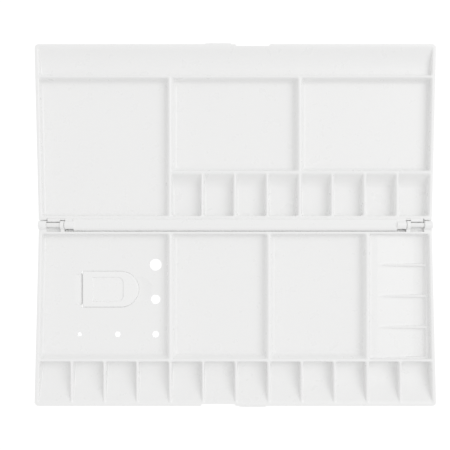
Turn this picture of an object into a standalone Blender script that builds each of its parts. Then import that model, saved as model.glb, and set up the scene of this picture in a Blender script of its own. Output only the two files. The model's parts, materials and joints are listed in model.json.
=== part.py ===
"""Folding mixing palette: two moulded trays, a thumb flap and two hinge pins, opened flat.

+X runs along the hinge, +Y points to the lid, and z = 0 is the surface that the palette lies on.
A tray is described by x and by a distance from the hinge line: the base lies at -Y, the lid at +Y.
"""

import math
from collections import namedtuple

import bmesh
import bpy
from mathutils import Matrix

MM = 0.001

# Driving dimensions
LENGTH = 240.0 * MM  # along the hinge, at the front edges
LENGTH_AT_HINGE = 234.8 * MM
LEAF_DEPTH = 108.2 * MM  # hinge line to front edge
RIM = 11.0 * MM  # height of each tray
BASE_MIDDLE_RIB = 0.3 * MM  # x of the rib at the middle of a row of wells
BASE_PITCH = 19.65 * MM  # spacing of the ribs
LID_MIDDLE_RIB = -0.4 * MM
LID_PITCH = 19.4 * MM
PLASTIC = 1.6 * MM  # general wall thickness
WELL_FLOOR = 3.0 * MM
LID_WELL_FLOOR = 4.2 * MM
MIX_FLOOR = 5.2 * MM
CLOSED_GAP = 0.3 * MM  # between the rims of the closed palette

# Walls and ribs
CORNER = 2.5 * MM
EDGE = 0.5 * MM
REAR_FACE = 3.9 * MM  # hinge line to a tray's rear face
REAR_WALL = 1.3 * MM
FRONT_WALL = 2.0 * MM
SIDE_RIM_AT_HINGE = 1.8 * MM
SIDE_RIM_AT_FRONT = 2.1 * MM
THIN_RIB = 1.0 * MM  # widths across the crowns
THICK_RIB = 1.3 * MM
FOOT = 1.6 * MM  # radius where a wall meets a floor
MOUTH_CORNER = 0.9 * MM
FLOOR_CORNER = 1.8 * MM
SKIRT = 2.2 * MM  # wall left round an underside hollow
OVERCUT = 1.0 * MM
OVERLAP = 0.2 * MM  # where two joined solids reach into each other

# Rows of compartments, by distance from the hinge line
BASE_RIB = 81.0 * MM  # between the mixing areas and the front wells
LID_RIB = 88.7 * MM  # between the mixing areas and the trough
LID_WELL_RIB = 31.5 * MM  # between the lid's wells and its mixing areas
TROUGH_FLOOR = 7.0 * MM
COLUMN_WELLS = 4  # wells in the base's right-hand column
COLUMN_TOP = 7.4 * MM  # height of the low ribs between them
COLUMN_FLOOR = 5.2 * MM
COLUMN_LEDGE = 0.15 * MM
COLUMN_SHELF = 4.0 * MM  # flat strip to the left of them

# How far a wall comes in between its top and its foot
WALL_RUN = 1.3 * MM
RIDGE_RUN = 3.4 * MM
END_RUN = 2.8 * MM
REAR_RUN = 1.8 * MM
FRONT_RUN = 3.8 * MM
WELL_RUN = 1.6 * MM
LID_WELL_RUN = 2.0 * MM
STEEP_RUN = 1.0 * MM
LOW_RUN = 0.6 * MM
SHELF_RUN = 2.3 * MM
FRONT_SCOOP = 22.0 * MM
LID_SCOOP = 8.5 * MM
TROUGH_SCOOP = 13.5 * MM
COLUMN_RAMP = 22.0 * MM

# Hinge
AXIS_HEIGHT = RIM + CLOSED_GAP / 2
PIN_RADIUS = 1.4 * MM
BORE_RADIUS = 1.65 * MM
KNUCKLE_RADIUS = 2.5 * MM
PIN_SIDES = 16
EAR_INNER = 112.7 * MM
EAR_OUTER = LENGTH_AT_HINGE / 2
LUG_OUTER = 104.4 * MM
LUG_INNER = 102.1 * MM
KNUCKLE_OUTER = 101.7 * MM
FLANGE_END = 96.5 * MM
FLANGE_REACH = 3.6 * MM  # radius that the lid's flange keeps within
FLANGE_RISE = 1.35 * MM  # flat top of the flange above the axis
FLANGE_UNDER = 1.6 * MM
NOSE_RADIUS = 2.3 * MM
NOSE_CENTRE = 1.2 * MM
GUSSET_ROOT = 5.0 * MM
GUSSET_FOOT = 3.0 * MM
WEB_START = 95.5 * MM  # of the base's low web, under the lid's eyes
WEB_TOP = 6.0 * MM
WEB_REACH = 1.0 * MM  # past the axis
STEP_TOP = 9.0 * MM  # of the base's web, under the pins
SHELF_TOP = 8.6 * MM  # of the base's shelf, under the lid's flange
SHELF_REACH = 3.0 * MM  # short of the axis
SILL_START = 101.2 * MM  # of the lid's sill, under the base's eyes
SILL_TOP = 8.2 * MM
SILL_REACH = 1.4 * MM  # short of the axis
LEDGE_TOP = 10.7 * MM  # of the lid's ledge, beside the pins
LEDGE_REACH = 1.9 * MM
SIDE_PLAY = 0.4 * MM  # along the axis, at each end of the ledge

# Closing tab and notch in the front edges
TAB_START = 1.6 * MM
TAB_END = 19.0 * MM
TAB_SLANT = 1.0 * MM  # how much narrower its outer edge is, at each end
TAB_PROUD = 0.6 * MM
TAB_FOOT = 6.0 * MM
NOTCH_CLEARANCE = 1.1 * MM
NOTCH_DEPTH = 1.2 * MM

# Thumb flap, in the base's left mixing area
FLAP_AXIS_X = -95.1 * MM
FLAP_AXIS_HEIGHT = 2.1 * MM
FLAP_MIDDLE = -38.8 * MM  # y of the flap's centre line
FLAP_STRAIGHT = -92.35 * MM  # x of the flap's straight edge
FLAP_ARC_X = -69.2 * MM
FLAP_RADIUS = 10.9 * MM
FLAP_PROUD = 0.7 * MM
FLAP_PLATE = 2.8 * MM  # from its top to the foot of its edge
FLAP_GAP = 0.4 * MM
SLOT_WIDTH = 0.7 * MM
FLANGE_LAP = 1.2 * MM  # how far the flap's flange reaches past its plate
FLANGE_START = 4.9 * MM
UNDER_FLOOR = 0.3 * MM
FLAP_SKIN = 1.2 * MM
FLANGE_THICKNESS = 1.1 * MM
WEB_WIDTH = 3.7 * MM
RECESS_DEPTH = 0.8 * MM  # of the thumb rest in the flap's top
RECESS_START = 6.0 * MM
RECESS_HALF = 7.4 * MM
RECESS_CORNER = 3.6 * MM
SLOPE_WIDTH = 6.6 * MM  # of the slope down to the flap's slot
SLOPE_HALF = 9.25 * MM
SLOPE_BEND = 2.6 * MM  # from the slot to where the slope gets gentler
DISH_RADIUS = 8.0 * MM  # of the finger dish, at the floor
DISH_BOTTOM = 4.0 * MM
DISH_DEPTH = 1.0 * MM
BARREL_RADIUS = 1.2 * MM
BARREL_HALF = 9.3 * MM
STUB_RADIUS = 0.8 * MM
STUB_HALF = 11.4 * MM
SOCKET_RADIUS = 1.05 * MM
BOSS_RADIUS = 1.8 * MM
BOSS_INNER = 9.9 * MM
BOSS_OUTER = 11.9 * MM

# Brush holes in the base: x, y, radius
HOLE_COLUMN = -48.1 * MM
HOLE_ROW = -66.1 * MM
BRUSH_HOLES = (
    (HOLE_COLUMN, -24.0 * MM, 3.5 * MM),
    (HOLE_COLUMN, -45.0 * MM, 2.8 * MM),
    (HOLE_COLUMN, HOLE_ROW, 2.0 * MM),
    (HOLE_COLUMN - 23.0 * MM, HOLE_ROW, 1.7 * MM),
    (HOLE_COLUMN - 46.0 * MM, HOLE_ROW, 1.25 * MM),
)

# Ribs that go on as the dividers between mixing areas, counted from the middle
BASE_DIVIDERS = (-2, 1, 4)
LID_DIVIDERS = (-2, 2)

BASE, LID = -1, 1
WALL = "wall"
UPRIGHT = {
    "X": Matrix(((0, 0, 1, 0), (1, 0, 0, 0), (0, 1, 0, 0), (0, 0, 0, 1))),
    "Y": Matrix(((1, 0, 0, 0), (0, 0, 1, 0), (0, 1, 0, 0), (0, 0, 0, 1))),
    "Z": Matrix.Identity(4),
}
Runs = namedtuple("Runs", "left right near far")


# Scene and materials


def clear_scene():
    for thing in list(bpy.data.objects):
        bpy.data.objects.remove(thing)


def new_group(name):
    group = bpy.data.collections.new(name)
    bpy.context.scene.collection.children.link(group)
    return group


def plastic(name, colour, roughness):
    material = bpy.data.materials.new(name)
    material.use_nodes = True
    shader = material.node_tree.nodes["Principled BSDF"]
    shader.inputs["Base Color"].default_value = (*colour, 1.0)
    shader.inputs["Roughness"].default_value = roughness
    shader.inputs["Metallic"].default_value = 0.0
    return material


# Solids: each of these returns a closed mesh


def close_up(mesh):
    """Welds a mesh's seams and turns its faces outwards."""
    shape = bmesh.new()
    shape.from_mesh(mesh)
    bmesh.ops.remove_doubles(shape, verts=shape.verts, dist=0.001 * MM)
    bmesh.ops.recalc_face_normals(shape, faces=shape.faces)
    shape.to_mesh(mesh)
    shape.free()
    return mesh


def prism(outline, low, high, along="Z"):
    """A flat outline with its thickness along Z, or along X (outline in y, z) or Y (outline in x, z)."""
    curve = bpy.data.curves.new("outline", "CURVE")
    curve.dimensions = "2D"
    curve.fill_mode = "BOTH"
    curve.extrude = (high - low) / 2
    spline = curve.splines.new("POLY")
    spline.points.add(len(outline) - 1)
    for point, (across, up) in zip(spline.points, outline):
        point.co = (across, up, 0.0, 1.0)
    spline.use_cyclic_u = True
    guide = bpy.data.objects.new("outline", curve)
    bpy.context.scene.collection.objects.link(guide)
    bpy.context.view_layer.update()
    evaluated = guide.evaluated_get(bpy.context.evaluated_depsgraph_get())
    mesh = bpy.data.meshes.new_from_object(evaluated)
    bpy.data.objects.remove(guide)
    mesh.transform(UPRIGHT[along] @ Matrix.Translation((0, 0, (low + high) / 2)))
    return close_up(mesh)


def box(low, high):
    shape = bmesh.new()
    bmesh.ops.create_cube(shape, size=1.0)
    mesh = bpy.data.meshes.new("box")
    shape.to_mesh(mesh)
    shape.free()
    size = [top - bottom for bottom, top in zip(low, high)]
    middle = [(top + bottom) / 2 for bottom, top in zip(low, high)]
    mesh.transform(Matrix.Translation(middle) @ Matrix.Diagonal((*size, 1.0)))
    return close_up(mesh)


def rod(radius, sides, low, high, along="Z", centre=(0.0, 0.0), top_radius=None):
    """A round bar, or a cone if it has a top radius, between two places on its axis."""
    shape = bmesh.new()
    bmesh.ops.create_cone(
        shape,
        cap_ends=True,
        segments=sides,
        radius1=radius,
        radius2=radius if top_radius is None else top_radius,
        depth=high - low,
    )
    mesh = bpy.data.meshes.new("rod")
    shape.to_mesh(mesh)
    shape.free()
    mesh.transform(UPRIGHT[along] @ Matrix.Translation((*centre, (low + high) / 2)))
    return close_up(mesh)


def arc(centre, radius, start, end, steps):
    """Points along an arc, with its angles in degrees."""
    points = []
    for step in range(steps + 1):
        angle = math.radians(start + (end - start) * step / steps)
        points.append((centre[0] + radius * math.cos(angle), centre[1] + radius * math.sin(angle)))
    return points


def side_x(line, side, distance):
    """Where a pocket's left (side -1) or right (side 1) edge is: on its own line, or along the side rim."""
    if line != WALL:
        return line
    rim = SIDE_RIM_AT_HINGE + (SIDE_RIM_AT_FRONT - SIDE_RIM_AT_HINGE) * distance / LEAF_DEPTH
    return side * (half_length(distance) - rim)


def half_length(distance):
    """Half the tray's length at a distance from the hinge line: the side walls open outwards a little."""
    return (LENGTH_AT_HINGE + (LENGTH - LENGTH_AT_HINGE) * distance / LEAF_DEPTH) / 2


def rib_x(leaf, number):
    """Where a rib stands, counted in ribs from the one at the middle."""
    if leaf == BASE:
        return BASE_MIDDLE_RIB + number * BASE_PITCH
    return LID_MIDDLE_RIB + number * LID_PITCH


def wall_inset(run, rise, depth):
    """How far a sloping wall with a rounded foot has come in, at a rise above its floor."""
    foot = min(FOOT, run)
    below = max(foot - rise, 0.0)
    return (run - foot) * (1 - rise / depth) + foot - math.sqrt(foot**2 - below**2)


def scoop_inset(run, rise, depth):
    """The same for a floor that curves up to the far edge like a spoon: a parabola."""
    return run * (1 - math.sqrt(rise / depth))


def scoop_rise(run, inset, depth):
    """The height of that floor above its lowest place, at a distance in from the far edge."""
    return depth * (1 - inset / run) ** 2


def pocket_loop(left, right, near, far, inset, radius):
    """The outline of a pocket at one height: a rectangle with rounded corners, as (x, distance)."""
    steps = 2
    points = []
    for quarter in range(4):
        on_right = quarter in (0, 3)
        on_far = quarter in (0, 1)
        for step in range(steps + 1):
            angle = (quarter + step / steps) * math.pi / 2
            in_x = radius * (1 - abs(math.cos(angle)))
            in_distance = radius * (1 - abs(math.sin(angle)))
            distance = far - inset.far - in_distance if on_far else near + inset.near + in_distance
            if on_right:
                x = side_x(right, 1, distance) - inset.right - in_x
            else:
                x = side_x(left, -1, distance) + inset.left + in_x
            points.append((x, distance))
    return points


def pocket(leaf, left, right, near, far, floor, runs, scooped=False, top=RIM):
    """The space of one compartment, from its floor to above its mouth, to be cut from a tray."""
    depth = top - floor
    rises = (0.0, 0.3 * FOOT, FOOT, FOOT + 0.45 * (depth - FOOT), depth)
    loops = []
    for rise in rises:
        far_inset = scoop_inset if scooped else wall_inset
        inset = Runs(
            wall_inset(runs.left, rise, depth),
            wall_inset(runs.right, rise, depth),
            wall_inset(runs.near, rise, depth),
            far_inset(runs.far, rise, depth),
        )
        room = far - near - inset.near - inset.far
        radius = min(FLOOR_CORNER + (MOUTH_CORNER - FLOOR_CORNER) * rise / depth, 0.45 * room)
        loops.append((floor + rise, pocket_loop(left, right, near, far, inset, radius)))
    loops.append((top + OVERCUT, loops[-1][1]))

    shape = bmesh.new()
    rings = []
    for height, points in loops:
        rings.append([shape.verts.new((x, leaf * distance, height)) for x, distance in points])
    for lower, upper in zip(rings, rings[1:]):
        for index in range(len(lower)):
            after = (index + 1) % len(lower)
            shape.faces.new((lower[index], lower[after], upper[after], upper[index]))
    shape.faces.new(rings[0])
    shape.faces.new(rings[-1])
    bmesh.ops.triangulate(shape, faces=shape.faces)
    mesh = bpy.data.meshes.new("pocket")
    shape.to_mesh(mesh)
    shape.free()
    return close_up(mesh)


# Objects, cuts and joins


def make_part(name, mesh, group, material):
    part = bpy.data.objects.new(name, mesh)
    part.data.name = name
    part.data.materials.append(material)
    group.objects.link(part)
    return part


def make_helper(name, meshes, group):
    """One hidden object from solids that don't touch, to cut from a part or to join to it."""
    shape = bmesh.new()
    for mesh in meshes:
        shape.from_mesh(mesh)
        bpy.data.meshes.remove(mesh)
    joined = bpy.data.meshes.new(name)
    shape.to_mesh(joined)
    shape.free()
    helper = bpy.data.objects.new(name, joined)
    helper.hide_render = True
    helper.display_type = "WIRE"
    group.objects.link(helper)
    return helper


def boolean(part, operation, helper):
    modifier = part.modifiers.new(helper.name, "BOOLEAN")
    modifier.operation = operation
    modifier.object = helper
    modifier.solver = "EXACT"


def bevel(part, width, segments=1):
    modifier = part.modifiers.new("bevel", "BEVEL")
    modifier.width = width
    modifier.segments = segments
    modifier.limit_method = "ANGLE"
    modifier.angle_limit = math.radians(50)


def put_origin(part, point):
    """Moves a part's origin to a point, leaving its shape where it is."""
    part.data.transform(Matrix.Translation([-value for value in point]))
    part.location = point


def round_off(part):
    part.data.shade_smooth()
    part.data.set_sharp_from_angle(angle=math.radians(35))


# The trays


def tray_block(leaf):
    """The outer shape of a tray. The lid's side walls reach nearer to the hinge than its rear wall does."""
    side_end = REAR_FACE if leaf == BASE else KNUCKLE_RADIUS + 0.4 * MM
    half_front = half_length(LEAF_DEPTH)
    rear = [(half_length(side_end), side_end), (EAR_INNER, side_end), (EAR_INNER, REAR_FACE)]
    if leaf == BASE:
        rear = rear[:1]
    front = arc((half_front - CORNER, LEAF_DEPTH - CORNER), CORNER, 0, 90, 3)
    right = list(reversed(rear)) + front
    outline = right + [(-x, distance) for x, distance in reversed(right)]
    return prism([(x, leaf * distance) for x, distance in outline], 0.0, RIM)


def tab_outline(leaf, start, end, slant, low, high):
    """A strip across a front edge with slanting ends, narrower at its high side."""
    outline = [(start, low), (end, low), (end - slant, high), (start + slant, high)]
    return [(-leaf * x, leaf * distance) for x, distance in outline]


def front_tab(leaf):
    low, high = LEAF_DEPTH - FRONT_WALL / 2, LEAF_DEPTH + TAB_PROUD
    return prism(tab_outline(leaf, TAB_START, TAB_END, TAB_SLANT, low, high), TAB_FOOT, RIM - TAB_PROUD)


def front_notch(leaf):
    low, high = LEAF_DEPTH - NOTCH_DEPTH, LEAF_DEPTH + OVERCUT
    start, end = -TAB_END - NOTCH_CLEARANCE, -TAB_START + NOTCH_CLEARANCE
    outline = tab_outline(leaf, start, end, -TAB_SLANT, low, high)
    return prism(outline, TAB_FOOT - NOTCH_CLEARANCE, RIM + OVERCUT)


def well_lines(leaf, first, thick):
    """The left and right edges of a row of wells, from its first rib to the right wall."""
    lines = []
    for number in range(first, 6):
        half = (THICK_RIB if number in thick else THIN_RIB) / 2
        lines.append((rib_x(leaf, number) - half, rib_x(leaf, number) + half))
    lefts = [right for _, right in lines]
    rights = [left for left, _ in lines[1:]] + [WALL]
    return list(zip(lefts, rights))


def base_pockets():
    near = REAR_FACE + REAR_WALL
    far = BASE_RIB - THIN_RIB / 2
    edges = [WALL]
    for number in BASE_DIVIDERS:
        edges += [rib_x(BASE, number) - THICK_RIB / 2, rib_x(BASE, number) + THICK_RIB / 2]
    pockets = []
    for left, right in zip(edges[0::2], edges[1::2]):
        left_run = WALL_RUN if left == WALL else RIDGE_RUN
        runs = Runs(left_run, RIDGE_RUN, REAR_RUN, FRONT_RUN)
        pockets.append(pocket(BASE, left, right, near, far, MIX_FLOOR, runs))
    runs = Runs(SHELF_RUN, LOW_RUN, LOW_RUN, LOW_RUN)
    pockets.append(pocket(BASE, edges[-1], WALL, near, far, COLUMN_TOP, runs))
    near = BASE_RIB + THIN_RIB / 2
    far = LEAF_DEPTH - FRONT_WALL
    runs = Runs(WELL_RUN, WELL_RUN, STEEP_RUN, FRONT_SCOOP)
    first_well = (WALL, rib_x(BASE, -5) - THIN_RIB / 2)
    for left, right in [first_well, *well_lines(BASE, -5, BASE_DIVIDERS)]:
        pockets.append(pocket(BASE, left, right, near, far, WELL_FLOOR, runs, scooped=True))
    return pockets


def column_pockets():
    """Wells in the base's right-hand column. Their floors rise to the left until the ribs run out."""
    first = REAR_FACE + REAR_WALL + LOW_RUN + COLUMN_LEDGE
    last = BASE_RIB - THIN_RIB / 2 - LOW_RUN - COLUMN_LEDGE
    step = (last - first + THIN_RIB) / COLUMN_WELLS
    left = column_start()
    right = side_x(WALL, 1, first) - LOW_RUN - COLUMN_LEDGE
    runs = Runs(COLUMN_RAMP, WELL_RUN, LOW_RUN, LOW_RUN)
    pockets = []
    for number in range(COLUMN_WELLS):
        near = first + number * step
        far = near + step - THIN_RIB
        pockets.append(pocket(BASE, left, right, near, far, COLUMN_FLOOR, runs, top=COLUMN_TOP))
    return pockets


def column_start():
    return rib_x(BASE, BASE_DIVIDERS[-1]) + THICK_RIB / 2 + SHELF_RUN + COLUMN_SHELF


def lid_pockets():
    near = REAR_FACE + REAR_WALL
    far = LID_RIB - THIN_RIB / 2
    past_wells = LID_WELL_RIB + THIN_RIB / 2
    left_rib, right_rib = [rib_x(LID, number) for number in LID_DIVIDERS]
    half = THICK_RIB / 2
    mixing = (
        (WALL, left_rib - half, near, Runs(WALL_RUN, RIDGE_RUN, REAR_RUN, END_RUN)),
        (left_rib + half, right_rib - half, past_wells, Runs(RIDGE_RUN, RIDGE_RUN, END_RUN, END_RUN)),
        (right_rib + half, WALL, past_wells, Runs(RIDGE_RUN, WALL_RUN, END_RUN, END_RUN)),
    )
    pockets = [pocket(LID, left, right, start, far, MIX_FLOOR, runs) for left, right, start, runs in mixing]
    runs = Runs(WALL_RUN, WALL_RUN, REAR_RUN, TROUGH_SCOOP)
    near_trough = LID_RIB + THIN_RIB / 2
    front = LEAF_DEPTH - FRONT_WALL
    pockets.append(pocket(LID, WALL, WALL, near_trough, front, TROUGH_FLOOR, runs, scooped=True))
    runs = Runs(LID_WELL_RUN, LID_WELL_RUN, STEEP_RUN, LID_SCOOP)
    far = LID_WELL_RIB - THIN_RIB / 2
    for left, right in well_lines(LID, LID_DIVIDERS[0], LID_DIVIDERS):
        pockets.append(pocket(LID, left, right, near, far, LID_WELL_FLOOR, runs, scooped=True))
    return pockets


def hollow_corner(distance):
    return half_length(distance) - SKIRT


def base_hollows():
    """The hollows under the raised floors, so that the moulding keeps an even thickness."""
    near = REAR_FACE + SKIRT
    far = BASE_RIB - SKIRT
    right = rib_x(BASE, BASE_DIVIDERS[-1]) - RIDGE_RUN
    outline = [(-hollow_corner(near), near), (right, near), (right, far), (-hollow_corner(far), far)]
    under_mixing = prism([(x, -distance) for x, distance in outline], -OVERCUT, MIX_FLOOR - PLASTIC)
    ramp_left = column_start() - PLASTIC
    ramp_right = column_start() + 0.6 * COLUMN_RAMP
    ramp_rise = 0.6 * (COLUMN_TOP - COLUMN_FLOOR)
    outline = [
        (ramp_left, -OVERCUT),
        (ramp_right, -OVERCUT),
        (ramp_right, COLUMN_TOP - ramp_rise - 2 * PLASTIC),
        (ramp_left, COLUMN_TOP - 2 * PLASTIC),
    ]
    under_column = prism(outline, -far, -near, along="Y")
    return [under_mixing, under_column, front_hollow()]


def front_hollow():
    """The hollow under the front wells' rising floors."""
    front = LEAF_DEPTH - FRONT_WALL
    depth = RIM - WELL_FLOOR
    inset = 0.45 * FRONT_SCOOP
    outline = [(inset - front, -OVERCUT)]
    for _ in range(3):
        height = WELL_FLOOR + scoop_rise(FRONT_SCOOP, inset, depth) - 1.3 * PLASTIC
        outline.append((inset - front, height))
        inset -= 0.15 * FRONT_SCOOP
    outline.append((-front, 0.6 * RIM))
    outline.append((-front, -OVERCUT))
    half = hollow_corner(front)
    return prism(outline, -half, half, along="X")


def lid_hollow():
    near = REAR_FACE + SKIRT
    middle = LID_WELL_RIB + SKIRT
    far = LEAF_DEPTH - FRONT_WALL
    left_rib = rib_x(LID, LID_DIVIDERS[0]) - SKIRT
    outline = [
        (-hollow_corner(near), near),
        (left_rib, near),
        (left_rib, middle),
        (hollow_corner(middle), middle),
        (hollow_corner(far), far),
        (-hollow_corner(far), far),
    ]
    return prism(outline, -OVERCUT, MIX_FLOOR - PLASTIC)


# The hinge


def knuckle(leaf, low, high):
    """A round eye on the hinge axis, with a gusset back to its tray's rear wall."""
    eye = arc((0.0, AXIS_HEIGHT), KNUCKLE_RADIUS, -50, 180, 10)
    root = [(-GUSSET_ROOT, RIM - 0.1 * MM), (-GUSSET_ROOT, GUSSET_FOOT)]
    outline = eye + root
    return prism([(-leaf * y, z) for y, z in outline], low, high, along="X")


def lid_flange():
    """The flange along the lid's rear edge that covers the hinge line, with a flat top and a round nose."""
    wall = REAR_FACE + REAR_WALL / 2
    nose = arc((-NOSE_CENTRE, FLANGE_RISE - NOSE_RADIUS), NOSE_RADIUS, 90, 180, 4)
    outline = [(wall, -FLANGE_UNDER), (wall, -CLOSED_GAP), (FLANGE_REACH, -CLOSED_GAP)]
    outline += [(FLANGE_REACH, FLANGE_RISE / 3), (FLANGE_REACH - EDGE, FLANGE_RISE)]
    outline += nose
    outline.append((-math.sqrt(FLANGE_REACH**2 - FLANGE_UNDER**2), -FLANGE_UNDER))
    return prism([(y, AXIS_HEIGHT + z) for y, z in outline], -FLANGE_END, FLANGE_END, along="X")


def hinge_fillers(steps, foot, near, far):
    """A block at each end of the hinge, with a stepped top, that closes the gap below the pins."""
    outline = [(steps[0][0], foot)] + steps + [(steps[-1][0], foot)]
    return [prism([(side * x, z) for x, z in outline], near, far, along="Y") for side in (-1, 1)]


def base_webs():
    step, end = LUG_OUTER - OVERLAP, EAR_INNER + OVERLAP
    steps = [(WEB_START, WEB_TOP), (step, WEB_TOP), (step, STEP_TOP), (end, STEP_TOP)]
    return hinge_fillers(steps, GUSSET_FOOT, -REAR_FACE - REAR_WALL / 2, WEB_REACH)


def rear_shelf():
    """A narrow shelf along the base's rear wall, under the lid's flange, from lug to lug."""
    end = LUG_INNER + OVERLAP
    outline = [(-end, WEB_TOP - OVERLAP), (end, WEB_TOP - OVERLAP), (end, SHELF_TOP), (-end, SHELF_TOP)]
    return prism(outline, -REAR_FACE - OVERLAP, -SHELF_REACH, along="Y")


def lid_sills():
    steps = [(SILL_START, SILL_TOP), (half_length(REAR_FACE) - OVERLAP, SILL_TOP)]
    return hinge_fillers(steps, GUSSET_FOOT, SILL_REACH, REAR_FACE + REAR_WALL / 2)


def lid_ledges():
    steps = [(LUG_OUTER + SIDE_PLAY, LEDGE_TOP), (EAR_INNER - SIDE_PLAY, LEDGE_TOP)]
    return hinge_fillers(steps, SILL_TOP - OVERLAP, LEDGE_REACH, REAR_FACE + OVERLAP)


def hinge_bores(low, high):
    centre = (0.0, AXIS_HEIGHT)
    return [rod(BORE_RADIUS, PIN_SIDES, *sorted((side * low, side * high)), "X", centre) for side in (-1, 1)]


def make_hinge_pin(name, side, group, material):
    low, high = sorted((side * (FLANGE_END + 0.7 * MM), side * (EAR_OUTER - 0.4 * MM)))
    pin = make_part(name, rod(PIN_RADIUS, PIN_SIDES, low, high, "X", (0.0, AXIS_HEIGHT)), group, material)
    bevel(pin, 0.3 * MM)
    put_origin(pin, (side * (EAR_INNER + LUG_OUTER) / 2, 0.0, AXIS_HEIGHT))
    round_off(pin)


# The thumb flap and its place in the base


def flap_outline(straight, radius):
    """A D on its side: a straight edge at the left and a round end at the right."""
    round_end = arc((FLAP_ARC_X, FLAP_MIDDLE), radius, -90, 90, 12)
    return [(straight, FLAP_MIDDLE - radius)] + round_end + [(straight, FLAP_MIDDLE + radius)]


def flap_recess():
    """The shallow thumb rest in the flap's top."""
    top = MIX_FLOOR + FLAP_PROUD
    left = FLAP_STRAIGHT + RECESS_START
    corner_x = FLAP_ARC_X - RECESS_CORNER / 2
    corner_y = RECESS_HALF - RECESS_CORNER
    outline = [(left, FLAP_MIDDLE - RECESS_HALF)]
    outline += arc((corner_x, FLAP_MIDDLE - corner_y), RECESS_CORNER, -90, 0, 3)
    outline += arc((corner_x, FLAP_MIDDLE + corner_y), RECESS_CORNER, 0, 90, 3)
    outline.append((left, FLAP_MIDDLE + RECESS_HALF))
    return prism(outline, top - RECESS_DEPTH, top + OVERCUT)


def flap_web():
    """The web that joins the flap's plate to its barrel."""
    under = MIX_FLOOR - PLASTIC - UNDER_FLOOR
    lowest = FLAP_AXIS_HEIGHT - 0.95 * BARREL_RADIUS
    right = FLAP_STRAIGHT + WEB_WIDTH
    outline = [
        (FLAP_AXIS_X, lowest),
        (right - 1.0 * MM, lowest),
        (right, under - 1.0 * MM),
        (right, under + FLAP_SKIN),
        (FLAP_STRAIGHT, under + FLAP_SKIN),
        (FLAP_STRAIGHT, under),
        (FLAP_AXIS_X, under),
    ]
    half = BARREL_HALF - 0.1 * MM
    return prism(outline, FLAP_MIDDLE - half, FLAP_MIDDLE + half, along="Y")


def flap_bar(radius, half):
    return rod(radius, 12, FLAP_MIDDLE - half, FLAP_MIDDLE + half, "Y", (FLAP_AXIS_X, FLAP_AXIS_HEIGHT))


def make_thumb_flap(group, helpers, material):
    top = MIX_FLOOR + FLAP_PROUD
    under = MIX_FLOOR - PLASTIC - UNDER_FLOOR
    plate = prism(flap_outline(FLAP_STRAIGHT, FLAP_RADIUS), top - FLAP_PLATE, top)
    flap = make_part("thumb_flap", plate, group, material)
    bevel(flap, EDGE)
    lap = flap_outline(FLAP_STRAIGHT + FLANGE_START, FLAP_RADIUS + FLANGE_LAP)
    flange = prism(lap, under - FLANGE_THICKNESS, under)
    joined = {
        "flap_flange": flange,
        "flap_web": flap_web(),
        "flap_barrel": flap_bar(BARREL_RADIUS, BARREL_HALF),
        "flap_stubs": flap_bar(STUB_RADIUS, STUB_HALF),
    }
    for name, solid in joined.items():
        boolean(flap, "UNION", make_helper(name, [solid], helpers))
    inside = flap_outline(FLAP_STRAIGHT + FLANGE_START, FLAP_RADIUS - FLAP_SKIN)
    hollow = prism(inside, -OVERCUT, top - RECESS_DEPTH - FLAP_SKIN)
    boolean(flap, "DIFFERENCE", make_helper("flap_hollows", [hollow, flap_recess()], helpers))
    put_origin(flap, (FLAP_AXIS_X, FLAP_MIDDLE, FLAP_AXIS_HEIGHT))
    round_off(flap)


def flap_bosses():
    """Two eyes under the floor that carry the flap's stub pins."""
    centre = (FLAP_AXIS_X, FLAP_AXIS_HEIGHT)
    top = MIX_FLOOR - PLASTIC + UNDER_FLOOR
    outline = arc(centre, BOSS_RADIUS, -180, 0, 6)
    outline += [(FLAP_AXIS_X + BOSS_RADIUS, top), (FLAP_AXIS_X - BOSS_RADIUS, top)]
    bosses = []
    for side in (-1, 1):
        low, high = sorted((FLAP_MIDDLE + side * BOSS_INNER, FLAP_MIDDLE + side * BOSS_OUTER))
        bosses.append(prism(outline, low, high, along="Y"))
    return bosses


def flap_sockets():
    centre = (FLAP_AXIS_X, FLAP_AXIS_HEIGHT)
    sockets = []
    for side in (-1, 1):
        ends = (FLAP_MIDDLE + side * (BOSS_INNER - FLAP_GAP), FLAP_MIDDLE + side * (BOSS_OUTER + FLAP_GAP))
        sockets.append(rod(SOCKET_RADIUS, 12, *sorted(ends), "Y", centre))
    return sockets


def slot_recess():
    """The slope beside the flap's straight edge, down into the slot."""
    left = FLAP_STRAIGHT - SLOPE_WIDTH
    right = FLAP_STRAIGHT - FLAP_GAP
    outline = [
        (left, MIX_FLOOR + 0.1 * MM),
        (right - SLOPE_BEND, MIX_FLOOR - 0.2 * PLASTIC),
        (right, MIX_FLOOR - 0.6 * PLASTIC),
        (right, MIX_FLOOR + OVERCUT),
        (left, MIX_FLOOR + OVERCUT),
    ]
    return prism(outline, FLAP_MIDDLE - SLOPE_HALF, FLAP_MIDDLE + SLOPE_HALF, along="Y")


def finger_dish():
    """A shallow dish in front of the flap's round end."""
    above = 0.2 * MM
    mouth = DISH_RADIUS + (DISH_RADIUS - DISH_BOTTOM) * above / DISH_DEPTH
    centre = (FLAP_ARC_X + FLAP_RADIUS + FLAP_GAP, FLAP_MIDDLE)
    return rod(DISH_BOTTOM, 20, MIX_FLOOR - DISH_DEPTH, MIX_FLOOR + above, "Z", centre, top_radius=mouth)


def flap_opening():
    outline = flap_outline(FLAP_STRAIGHT - SLOT_WIDTH, FLAP_RADIUS + FLAP_GAP)
    return prism(outline, MIX_FLOOR - PLASTIC - 0.1 * MM, MIX_FLOOR + OVERCUT)


def brush_holes():
    low, high = MIX_FLOOR - PLASTIC - OVERCUT, MIX_FLOOR + OVERCUT
    return [rod(radius, 16, low, high, centre=(x, y)) for x, y, radius in BRUSH_HOLES]


# The whole palette


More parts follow.
